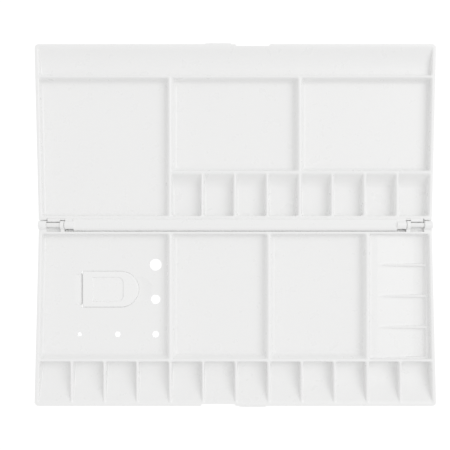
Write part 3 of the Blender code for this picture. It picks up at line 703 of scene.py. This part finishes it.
def rear_shelf():
    """A narrow shelf along the base's rear wall, under the lid's flange, from lug to lug."""
    end = LUG_INNER + OVERLAP
    outline = [(-end, WEB_TOP - OVERLAP), (end, WEB_TOP - OVERLAP), (end, SHELF_TOP), (-end, SHELF_TOP)]
    return prism(outline, -REAR_FACE - OVERLAP, -SHELF_REACH, along="Y")


def lid_sills():
    """The lid's sills, under the base's eyes."""
    steps = [(SILL_START, SILL_TOP), (half_length(REAR_FACE) - OVERLAP, SILL_TOP)]
    return hinge_fillers(steps, GUSSET_FOOT, SILL_REACH, REAR_FACE + REAR_WALL / 2)


def lid_ledges():
    """The lid's ledges, beside the pins and between the base's eyes."""
    steps = [(LUG_OUTER + SIDE_PLAY, LEDGE_TOP), (EAR_INNER - SIDE_PLAY, LEDGE_TOP)]
    return hinge_fillers(steps, SILL_TOP - OVERLAP, LEDGE_REACH, REAR_FACE + OVERLAP)


def lid_corners():
    """Where the ledges end, the rear wall is thicker as far as the lid's eyes."""
    steps = [(SILL_START, LEDGE_TOP - OVERLAP), (LUG_OUTER + SIDE_PLAY + OVERLAP, LEDGE_TOP - OVERLAP)]
    near = KNUCKLE_RADIUS + SIDE_PLAY
    return hinge_fillers(steps, SILL_TOP - 2 * OVERLAP, near, REAR_FACE + 2 * OVERLAP)


def hinge_bores(low, high):
    centre = (0.0, AXIS_HEIGHT)
    return [rod(BORE_RADIUS, *sorted((side * low, side * high)), "X", centre) for side in (-1, 1)]


def hinge_pin(side):
    low, high = sorted((side * PIN_START, side * PIN_END))
    return rod(PIN_RADIUS, low, high, "X", (0.0, AXIS_HEIGHT), edge=PIN_EDGE)


# The thumb flap and its place in the base


def flap_outline(straight, radius):
    """A D on its side: a straight edge at the left and a round end at the right."""
    round_end = arc((FLAP_ARC_X, FLAP_MIDDLE), radius, -90, 90, 40)
    return [(straight, FLAP_MIDDLE - radius)] + round_end + [(straight, FLAP_MIDDLE + radius)]


def flap_recess():
    """The shallow thumb rest in the flap's top."""
    top = MIX_FLOOR + FLAP_PROUD
    left = FLAP_STRAIGHT + RECESS_START
    corner_x = FLAP_ARC_X - RECESS_CORNER / 2
    corner_y = RECESS_HALF - RECESS_CORNER
    outline = [(left, FLAP_MIDDLE - RECESS_HALF)]
    outline += arc((corner_x, FLAP_MIDDLE - corner_y), RECESS_CORNER, -90, 0, 12)
    outline += arc((corner_x, FLAP_MIDDLE + corner_y), RECESS_CORNER, 0, 90, 12)
    outline.append((left, FLAP_MIDDLE + RECESS_HALF))
    return softened(prism(outline, top - RECESS_DEPTH, top + OVERCUT), RECESS_EDGE)


def flap_web():
    """The web that joins the flap's plate to its barrel."""
    under = MIX_FLOOR - PLASTIC - UNDER_FLOOR
    lowest = FLAP_AXIS_HEIGHT - 0.95 * BARREL_RADIUS
    right = FLAP_STRAIGHT + WEB_WIDTH
    outline = [
        (FLAP_AXIS_X, lowest),
        (right - WEB_CHAMFER, lowest),
        (right, under - WEB_CHAMFER),
        (right, under + FLAP_SKIN),
        (FLAP_STRAIGHT, under + FLAP_SKIN),
        (FLAP_STRAIGHT, under),
        (FLAP_AXIS_X, under),
    ]
    half = BARREL_HALF - WEB_INSET
    return prism(outline, FLAP_MIDDLE - half, FLAP_MIDDLE + half, along="Y")


def flap_bar(radius, half):
    """A round bar along the flap's hinge axis."""
    centre = (FLAP_AXIS_X, FLAP_AXIS_HEIGHT)
    return rod(radius, FLAP_MIDDLE - half, FLAP_MIDDLE + half, "Y", centre, FINE_EDGE)


def flap_mesh():
    top = MIX_FLOOR + FLAP_PROUD
    under = MIX_FLOOR - PLASTIC - UNDER_FLOOR
    plate = prism(flap_outline(FLAP_STRAIGHT, FLAP_RADIUS), top - FLAP_PLATE, top)
    plate = softened(plate, FLAP_EDGE, 4)
    lap = flap_outline(FLAP_STRAIGHT + FLANGE_START, FLAP_RADIUS + FLANGE_LAP)
    flange = softened(prism(lap, under - FLANGE_THICKNESS, under), FINE_EDGE, 2)
    bars = [flap_bar(BARREL_RADIUS, BARREL_HALF), flap_bar(STUB_RADIUS, STUB_HALF)]
    inside = flap_outline(FLAP_STRAIGHT + FLANGE_START, FLAP_RADIUS - FLAP_SKIN)
    hollow = prism(inside, -OVERCUT, top - RECESS_DEPTH - FLAP_SKIN)
    joins = [("UNION", [solid]) for solid in (flange, flap_web(), *bars)]
    return carved(plate, joins + [("DIFFERENCE", [hollow, flap_recess()])])


def flap_bosses():
    """Two eyes under the floor that carry the flap's stub pins."""
    centre = (FLAP_AXIS_X, FLAP_AXIS_HEIGHT)
    top = MIX_FLOOR - PLASTIC + UNDER_FLOOR
    outline = arc(centre, BOSS_RADIUS, -180, 0, 20)
    outline += [(FLAP_AXIS_X + BOSS_RADIUS, top), (FLAP_AXIS_X - BOSS_RADIUS, top)]
    bosses = []
    for side in (-1, 1):
        low, high = sorted((FLAP_MIDDLE + side * BOSS_INNER, FLAP_MIDDLE + side * BOSS_OUTER))
        bosses.append(softened(prism(outline, low, high, along="Y"), FINE_EDGE, 2))
    return bosses


def flap_sockets():
    """The bores of the eyes, for the flap's stub pins."""
    centre = (FLAP_AXIS_X, FLAP_AXIS_HEIGHT)
    sockets = []
    for side in (-1, 1):
        ends = (FLAP_MIDDLE + side * (BOSS_INNER - FLAP_GAP), FLAP_MIDDLE + side * (BOSS_OUTER + FLAP_GAP))
        sockets.append(rod(SOCKET_RADIUS, *sorted(ends), "Y", centre))
    return sockets


def slot_recess():
    """The slope beside the flap's straight edge, down into the slot."""
    left = FLAP_STRAIGHT - SLOPE_WIDTH
    right = FLAP_STRAIGHT - FLAP_GAP
    outline = [
        (left, MIX_FLOOR + BREAKOUT),
        (right - SLOPE_BEND, MIX_FLOOR - SLOPE_BEND_DEPTH),
        (right, MIX_FLOOR - SLOPE_DEPTH),
        (right, MIX_FLOOR + OVERCUT),
        (left, MIX_FLOOR + OVERCUT),
    ]
    return prism(outline, FLAP_MIDDLE - SLOPE_HALF, FLAP_MIDDLE + SLOPE_HALF, along="Y")


def finger_dish():
    """A shallow round dish in front of the flap's round end, cut with part of a ball."""
    ball = (DISH_RADIUS**2 + DISH_DEPTH**2) / (2 * DISH_DEPTH)
    centre = (FLAP_ARC_X + FLAP_RADIUS + FLAP_GAP, FLAP_MIDDLE)
    steps = 12
    profile = []
    for step in range(steps + 1):
        radius = max(DISH_RADIUS * 1.1 * step / steps, DISH_TIP)
        profile.append((radius, MIX_FLOOR - DISH_DEPTH + ball - math.sqrt(ball**2 - radius**2)))
    return turned(profile, 64, "Z", centre)


def flap_opening():
    """The flap's hole through the floor, with the slot beside its straight edge."""
    outline = flap_outline(FLAP_STRAIGHT - SLOT_WIDTH, FLAP_RADIUS + FLAP_GAP)
    return prism(outline, MIX_FLOOR - PLASTIC - BREAKOUT, MIX_FLOOR + OVERCUT)


def brush_hole(x, y, radius):
    """A round hole with rounded lips."""
    over = 0.08 * MM
    half = []
    for angle in (75, 60, 45, 30, 15, 0):
        lean = math.radians(angle)
        half.append((radius + HOLE_LIP * (1 - math.cos(lean)), HOLE_LIP * (1 - math.sin(lean))))
    wide = half[0][0] + HOLE_LIP
    bottom = MIX_FLOOR - PLASTIC
    profile = [(wide, bottom - over)] + [(r, bottom + up) for r, up in half]
    profile += [(r, MIX_FLOOR - up) for r, up in reversed(half)] + [(wide, MIX_FLOOR + over)]
    return turned(profile, 48, "Z", (x, y))


def base_mesh():
    eyes = []
    for inner, outer in ((EAR_INNER, EAR_OUTER), (LUG_INNER, LUG_OUTER)):
        eyes += [knuckle(BASE, side * inner, side * outer) for side in (-1, 1)]
    bores = hinge_bores(LUG_INNER - OVERCUT, EAR_OUTER + OVERCUT)
    steps = [
        ("UNION", eyes + [front_tab(BASE)]),
        ("UNION", base_webs()),
        ("UNION", [rear_shelf()]),
        ("DIFFERENCE", base_pockets()),
        ("DIFFERENCE", column_pockets()),
        ("DIFFERENCE", base_hollows()),
        ("UNION", flap_bosses()),
        ("DIFFERENCE", bores + flap_sockets() + [front_notch(BASE)]),
        ("DIFFERENCE", [brush_hole(*hole) for hole in BRUSH_HOLES]),
        ("DIFFERENCE", [slot_recess()]),
        ("DIFFERENCE", [finger_dish()]),
        ("DIFFERENCE", [flap_opening()]),
    ]
    return carved(tray_block(BASE), steps)


def lid_mesh():
    eyes = [knuckle(LID, side * (FLANGE_END - OVERLAP), side * KNUCKLE_OUTER) for side in (-1, 1)]
    bores = hinge_bores(BORE_START, KNUCKLE_OUTER + OVERCUT)
    steps = [
        ("UNION", [lid_flange()]),
        ("UNION", eyes + [front_tab(LID)]),
        ("UNION", lid_sills()),
        ("UNION", lid_ledges()),
        ("UNION", lid_corners()),
        ("DIFFERENCE", lid_pockets()),
        ("DIFFERENCE", [lid_hollow()]),
        ("DIFFERENCE", bores + [front_notch(LID)]),
    ]
    return carved(tray_block(LID), steps)


# Materials


def add_node(tree, kind, **settings):
    node = tree.nodes.new(kind)
    for name, value in settings.items():
        if name in node.inputs:
            node.inputs[name].default_value = value
        else:
            setattr(node, name, value)
    return node


def noise(tree, place, scale, detail=3.0, roughness=0.5):
    node = add_node(tree, "ShaderNodeTexNoise", Scale=scale, Detail=detail, Roughness=roughness)
    tree.links.new(place, node.inputs["Vector"])
    return node.outputs["Fac"]


def remap(tree, value, from_low, from_high, to_low, to_high):
    node = add_node(tree, "ShaderNodeMapRange")
    limits = {"From Min": from_low, "From Max": from_high, "To Min": to_low, "To Max": to_high}
    for name, number in limits.items():
        node.inputs[name].default_value = number
    tree.links.new(value, node.inputs["Value"])
    return node.outputs["Result"]


def combine(tree, operation, first, second):
    node = add_node(tree, "ShaderNodeMath", operation=operation)
    for value, socket in zip((first, second), node.inputs):
        if isinstance(value, (int, float)):
            socket.default_value = value
        else:
            tree.links.new(value, socket)
    return node.outputs["Value"]


def scratches(tree, place, angle):
    """Thin hairlines that run one way, as 0 to 1."""
    turn = (0, 0, math.radians(angle))
    mapping = add_node(tree, "ShaderNodeMapping", Rotation=turn, Scale=HAIR_STRETCH)
    tree.links.new(place, mapping.inputs["Vector"])
    lines = noise(tree, mapping.outputs["Vector"], 1.0, detail=1.0)
    return remap(tree, lines, 0.70, 0.76, 0.0, 1.0)


def plastic_tint(tree, colour, flow, blotch):
    """The colour, a little darker along the flow marks and in blotches."""
    flow_tone = remap(tree, flow, NOISE_LOW, NOISE_HIGH, 0.996, 1.0)
    blotch_tone = remap(tree, blotch, NOISE_LOW, NOISE_HIGH, 0.998, 1.0)
    tint = add_node(tree, "ShaderNodeVectorMath", operation="SCALE")
    tint.inputs[0].default_value = colour
    tree.links.new(combine(tree, "MULTIPLY", flow_tone, blotch_tone), tint.inputs["Scale"])
    return tint.outputs["Vector"]


def plastic_gloss(tree, roughness, blotch, hairs):
    """Roughness that varies in blotches and is higher on the hairlines."""
    spread = 0.04
    gloss = remap(tree, blotch, NOISE_LOW, NOISE_HIGH, roughness - spread, roughness + spread)
    return combine(tree, "ADD", gloss, combine(tree, "MULTIPLY", hairs, 0.05))


def plastic_relief(tree, flow, peel, hairs):
    """Orange peel over the flow marks, with the hairlines cut in."""
    height = combine(tree, "MULTIPLY", peel, 0.5)
    height = combine(tree, "ADD", height, combine(tree, "MULTIPLY", flow, 2.0))
    height = combine(tree, "SUBTRACT", height, combine(tree, "MULTIPLY", hairs, 0.1))
    bump = add_node(tree, "ShaderNodeBump", Strength=0.4, Distance=0.01 * MM)
    tree.links.new(height, bump.inputs["Height"])
    return bump.outputs["Normal"]


def moulded_plastic(name, colour, roughness):
    """White moulded plastic: faint flow marks, orange peel, uneven gloss and a few hairline scratches."""
    material = bpy.data.materials.new(name)
    material.use_nodes = True
    tree = material.node_tree
    shader = tree.nodes["Principled BSDF"]
    shader.inputs["IOR"].default_value = PLASTIC_IOR
    place = add_node(tree, "ShaderNodeTexCoord").outputs["Object"]
    flow = noise(tree, place, FLOW_SCALE, detail=2.0)
    blotch = noise(tree, place, BLOTCH_SCALE, detail=4.0)
    peel = noise(tree, place, PEEL_SCALE, detail=2.0)
    hairs = combine(tree, "MAXIMUM", *[scratches(tree, place, angle) for angle in HAIR_ANGLES])
    tree.links.new(plastic_tint(tree, colour, flow, blotch), shader.inputs["Base Color"])
    tree.links.new(plastic_gloss(tree, roughness, blotch, hairs), shader.inputs["Roughness"])
    tree.links.new(plastic_relief(tree, flow, peel, hairs), shader.inputs["Normal"])
    return material


def pale_floor():
    material = bpy.data.materials.new("floor_paint")
    material.use_nodes = True
    shader = material.node_tree.nodes["Principled BSDF"]
    shader.inputs["Base Color"].default_value = (0.1, 0.1, 0.1, 1.0)
    shader.inputs["Roughness"].default_value = 0.9
    shader.inputs["Emission Color"].default_value = (1.0, 1.0, 1.0, 1.0)
    shader.inputs["Emission Strength"].default_value = FLOOR_GLOW
    shader.inputs["Specular IOR Level"].default_value = 0.0
    return material


# The scene


def show(name, mesh, node, body, material):
    """A finished piece that stands for a CAD node and rides on its body."""
    piece = bpy.data.objects.new(name, mesh)
    piece.data.name = name
    piece.data.materials.clear()
    piece.data.materials.append(material)
    bpy.context.scene.collection.objects.link(piece)
    piece.data.shade_smooth()
    piece.data.set_sharp_from_angle(angle=math.radians(SHARP_ANGLE))
    modifier = piece.modifiers.new("even_normals", "WEIGHTED_NORMAL")
    modifier.keep_sharp = True
    modifier.weight = 60
    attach(piece, body)
    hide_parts(node)


def area_light(name, place, target, size, power):
    lamp = bpy.data.lights.new(name, "AREA")
    lamp.shape = "RECTANGLE"
    lamp.size, lamp.size_y = size
    lamp.energy = power
    thing = bpy.data.objects.new(name, lamp)
    thing.location = place
    thing.rotation_euler = (Vector(target) - Vector(place)).to_track_quat("-Z", "Y").to_euler()
    bpy.context.scene.collection.objects.link(thing)


def light_scene():
    world = bpy.data.worlds.new("studio")
    world.use_nodes = True
    background = world.node_tree.nodes["Background"]
    background.inputs["Color"].default_value = (1.0, 1.0, 1.0, 1.0)
    background.inputs["Strength"].default_value = SKY_STRENGTH
    bpy.context.scene.world = world
    area_light("key", KEY_PLACE, (0, 0, 0), KEY_SIZE, KEY_POWER)


def add_floor():
    mesh = bpy.data.meshes.new("floor")
    shape = bmesh.new()
    bmesh.ops.create_grid(shape, x_segments=1, y_segments=1, size=FLOOR_HALF)
    shape.to_mesh(mesh)
    shape.free()
    mesh.materials.append(pale_floor())
    floor = bpy.data.objects.new("floor", mesh)
    floor.location.z = -FLOOR_DROP
    bpy.context.scene.collection.objects.link(floor)


def add_camera():
    camera = bpy.data.cameras.new("camera")
    camera.sensor_width = 36.0
    camera.lens = camera.sensor_width * CAMERA_DISTANCE / VIEW_WIDTH
    camera.clip_start = 0.01
    camera.clip_end = 10.0
    thing = bpy.data.objects.new("camera", camera)
    thing.location = (CAMERA_X, 0.0, RIM + CAMERA_DISTANCE)
    bpy.context.scene.collection.objects.link(thing)
    bpy.context.scene.camera = thing


def main():
    bpy.context.scene.view_settings.view_transform = "Standard"
    base_white = moulded_plastic("base_white", WHITE, ROUGHNESS)
    lid_white = moulded_plastic("lid_white", WHITE, ROUGHNESS)
    flap_white = moulded_plastic("flap_white", FLAP_WHITE, FLAP_ROUGHNESS)
    show("base_moulding", base_mesh(), "base_tray", "base", base_white)
    show("lid_moulding", lid_mesh(), "lid_tray", "lid", lid_white)
    show("flap_moulding", flap_mesh(), "thumb_flap", "flap", flap_white)
    pin_white = moulded_plastic("pin_white", PIN_WHITE, ROUGHNESS)
    for name, side in (("left", -1), ("right", 1)):
        show(f"pin_{name}", hinge_pin(side), f"hinge_pin_{name}", "base", pin_white)
    add_floor()
    light_scene()
    add_camera()


main()
